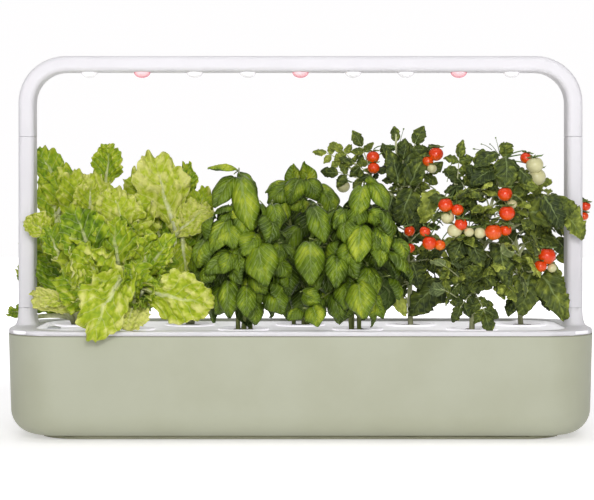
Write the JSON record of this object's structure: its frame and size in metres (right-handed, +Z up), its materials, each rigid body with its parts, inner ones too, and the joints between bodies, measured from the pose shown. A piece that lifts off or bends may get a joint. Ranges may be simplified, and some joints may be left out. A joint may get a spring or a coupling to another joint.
{
  "type": "countertop hydroponic garden",
  "caption": "Long rounded water tank with a planting tray of lift-out pods in two staggered rows, growing lettuce, basil and tomatoes under a slim lamp arch on plug-in arms.",
  "frame": {"origin": "on the floor under the middle of the garden, in the plane of its four feet", "axes": "+X to the right along the tank, +Y to the back, +Z up; the lamp bar lies over the X axis"},
  "size_m": [0.626, 0.2063, 0.4083],
  "materials": {
    "sage_plastic": "satin sage green",
    "plinth_plastic": "matte dark olive",
    "white_plastic": "semi-gloss white",
    "rubber": "matte black",
    "cup_plastic": "matte white",
    "growing_medium": "dark, damp and fibrous",
    "float_plastic": "satin light grey",
    "clear_lens": "clear moulded",
    "red_lens": "red-tinted moulded",
    "board_metal": "bare metal-core board",
    "black_plastic": "matte black",
    "lettuce_leaf": "yellow-green, softly ruffled",
    "basil_leaf": "glossy mid green",
    "tomato_leaf": "dull dark green with red and pale fruit"
  },
  "bodies": {
    "base": {"tank": "sage_plastic", "plinth": "plinth_plastic", "foot_front_left": "rubber", "foot_front_right": "rubber", "foot_rear_left": "rubber", "foot_rear_right": "rubber"},
    "tray": {"tray": "white_plastic", "power_inlet": "black_plastic"},
    "float": {"level_float": "float_plastic"},
    "pod_1": {"cup_1": "cup_plastic", "growing_medium_1": "growing_medium", "lettuce_1": "lettuce_leaf"},
    "pod_2": {"cup_2": "cup_plastic", "growing_medium_2": "growing_medium", "lettuce_2": "lettuce_leaf"},
    "pod_3": {"cup_3": "cup_plastic", "growing_medium_3": "growing_medium", "lettuce_3": "lettuce_leaf"},
    "pod_4": {"cup_4": "cup_plastic", "growing_medium_4": "growing_medium", "basil_1": "basil_leaf"},
    "pod_5": {"cup_5": "cup_plastic", "growing_medium_5": "growing_medium", "basil_2": "basil_leaf"},
    "pod_6": {"cup_6": "cup_plastic", "growing_medium_6": "growing_medium", "basil_3": "basil_leaf"},
    "pod_7": {"cup_7": "cup_plastic", "growing_medium_7": "growing_medium", "tomato_1": "tomato_leaf"},
    "pod_8": {"cup_8": "cup_plastic", "growing_medium_8": "growing_medium", "tomato_2": "tomato_leaf"},
    "pod_9": {"cup_9": "cup_plastic", "growing_medium_9": "growing_medium", "tomato_3": "tomato_leaf"},
    "lower_arm_left": {"lower_arm_left": "white_plastic"},
    "upper_arm_left": {"upper_arm_left": "white_plastic"},
    "lower_arm_right": {"lower_arm_right": "white_plastic"},
    "upper_arm_right": {"upper_arm_right": "white_plastic"},
    "lamp": {"lamp_arch": "white_plastic", "lamp_cover": "white_plastic", "led_board": "board_metal", "timer_driver": "black_plastic", "lens_1": "clear_lens", "lens_2": "red_lens", "lens_3": "clear_lens", "lens_4": "clear_lens", "lens_5": "red_lens", "lens_6": "clear_lens", "lens_7": "clear_lens", "lens_8": "red_lens", "lens_9": "clear_lens"},
    "button": {"power_button": "white_plastic"}
  },
  "joints": [
    {"name": "tray_lift", "type": "slide", "parent": "base", "child": "tray", "axis": [0, 0, 1], "range_m": [0, 0.11]},
    {"name": "float_rise", "type": "slide", "parent": "tray", "child": "float", "axis": [0, 0, 1], "range_m": [-0.058, 0]},
    {"name": "pod_1_lift", "type": "slide", "parent": "tray", "child": "pod_1", "axis": [0, 0, 1], "range_m": [0, 0.054]},
    {"name": "pod_2_lift", "type": "slide", "parent": "tray", "child": "pod_2", "axis": [0, 0, 1], "range_m": [0, 0.054]},
    {"name": "pod_3_lift", "type": "slide", "parent": "tray", "child": "pod_3", "axis": [0, 0, 1], "range_m": [0, 0.054]},
    {"name": "pod_4_lift", "type": "slide", "parent": "tray", "child": "pod_4", "axis": [0, 0, 1], "range_m": [0, 0.054]},
    {"name": "pod_5_lift", "type": "slide", "parent": "tray", "child": "pod_5", "axis": [0, 0, 1], "range_m": [0, 0.054]},
    {"name": "pod_6_lift", "type": "slide", "parent": "tray", "child": "pod_6", "axis": [0, 0, 1], "range_m": [0, 0.054]},
    {"name": "pod_7_lift", "type": "slide", "parent": "tray", "child": "pod_7", "axis": [0, 0, 1], "range_m": [0, 0.054]},
    {"name": "pod_8_lift", "type": "slide", "parent": "tray", "child": "pod_8", "axis": [0, 0, 1], "range_m": [0, 0.054]},
    {"name": "pod_9_lift", "type": "slide", "parent": "tray", "child": "pod_9", "axis": [0, 0, 1], "range_m": [0, 0.054]},
    {"name": "lower_arm_left_lift", "type": "slide", "parent": "tray", "child": "lower_arm_left", "axis": [0, 0, 1], "range_m": [0, 0.016]},
    {"name": "upper_arm_left_lift", "type": "slide", "parent": "lower_arm_left", "child": "upper_arm_left", "axis": [0, 0, 1], "range_m": [0, 0.016]},
    {"name": "lower_arm_right_lift", "type": "slide", "parent": "tray", "child": "lower_arm_right", "axis": [0, 0, 1], "range_m": [0, 0.016]},
    {"name": "upper_arm_right_lift", "type": "slide", "parent": "lower_arm_right", "child": "upper_arm_right", "axis": [0, 0, 1], "range_m": [0, 0.016]},
    {"name": "lamp_lift", "type": "slide", "parent": "upper_arm_left", "child": "lamp", "axis": [0, 0, 1], "range_m": [0, 0.016]},
    {"name": "power_button_press", "type": "slide", "parent": "lamp", "child": "button", "axis": [0, 0, -1], "range_m": [0, 0.001], "stiffness_N_per_m": 1500}
  ],
  "couplings": [
    {"joint": "lower_arm_right_lift", "follows": "lower_arm_left_lift", "ratio": 1},
    {"joint": "upper_arm_right_lift", "follows": "upper_arm_left_lift", "ratio": 1}
  ]
}
